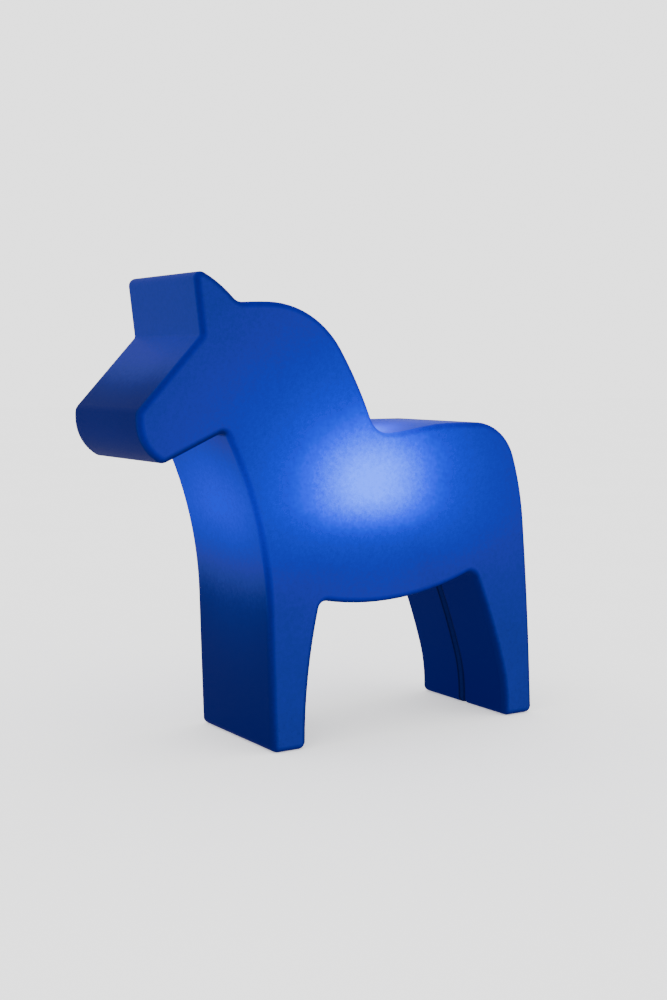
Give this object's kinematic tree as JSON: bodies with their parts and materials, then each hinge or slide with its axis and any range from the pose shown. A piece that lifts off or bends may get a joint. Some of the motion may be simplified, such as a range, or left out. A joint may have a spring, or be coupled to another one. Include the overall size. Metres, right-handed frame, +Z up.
{
  "type": "table lamp",
  "caption": "Dala-horse-shaped table lamp: hollow moulded shell with flat sides, four joined hooves, belly hatch, cable gland, lampholder and screw-in bulb.",
  "frame": {"origin": "on the floor, under the centre of the lamp's bounding box", "axes": "head towards -X, +Y towards the horse's left or right flat side (both alike), +Z up"},
  "size_m": [0.5027, 0.164, 0.5001],
  "materials": {
    "blue_shell": "rotomoulded translucent blue polyethylene, satin, lit from inside",
    "brass": "turned brass",
    "black_plastic": "moulded black nylon",
    "black_rubber": "matt black rubber",
    "steel": "zinc-plated steel",
    "white_plastic": "white heat-resistant plastic",
    "ceramic_white": "glazed white ceramic",
    "clear_plastic": "pale natural nylon",
    "brown_lead": "brown lead insulation",
    "blue_lead": "blue lead insulation",
    "tin": "soldered tin contact",
    "nickel": "nickel-plated brass",
    "aluminium_board": "white-coated aluminium circuit board",
    "yellow_phosphor": "LED phosphor",
    "green_board": "glass-epoxy circuit board",
    "opal_diffuser": "opal diffusing plastic, lit"
  },
  "bodies": {
    "horse": {"horse_shell": "blue_shell", "brass_inserts": "brass"},
    "lamp_unit": {"hatch_plate": "black_plastic", "hatch_gasket": "black_rubber", "screw_washers": "steel", "hatch_screws": "steel", "gland_body": "black_plastic", "gland_flat_seal": "black_rubber", "gland_locknut": "black_plastic", "gland_rubber_sleeve": "black_rubber", "gland_dome_nut": "black_plastic", "holder_bracket": "steel", "bracket_screws": "steel", "nipple_tube": "steel", "nipple_nut": "brass", "holder_cap": "white_plastic", "holder_core": "ceramic_white", "holder_skirt": "white_plastic", "contact_sleeve": "brass", "centre_contact": "brass", "terminal_screws": "brass", "terminal_block": "clear_plastic", "terminal_block_screws": "brass", "live_lead": "brown_lead", "neutral_lead": "blue_lead"},
    "bulb_tip": {"bulb_contact": "tin"},
    "bulb": {"bulb_insulator": "black_plastic", "bulb_screw_cap": "nickel", "bulb_heat_sink": "white_plastic", "bulb_led_board": "aluminium_board", "bulb_led_chips": "yellow_phosphor", "bulb_driver_board": "green_board", "bulb_driver_parts": "black_plastic", "bulb_globe": "opal_diffuser"}
  },
  "joints": [
    {"name": "hatch_pull", "type": "slide", "parent": "horse", "child": "lamp_unit", "axis": [0, 0, -1], "range_m": [0, 0.125]},
    {"name": "bulb_lift", "type": "slide", "parent": "lamp_unit", "child": "bulb_tip", "axis": [0, 0, 1], "range_m": [0, 0.0182]},
    {"name": "bulb_turn", "type": "hinge", "parent": "bulb_tip", "child": "bulb", "pos_m": [0.03, 0, 0.21], "axis": [0, 0, 1], "range_deg": [0, 1800]}
  ],
  "couplings": [
    {"joint": "bulb_lift", "follows": "bulb_turn", "m_per_rad": 0.0005775}
  ]
}
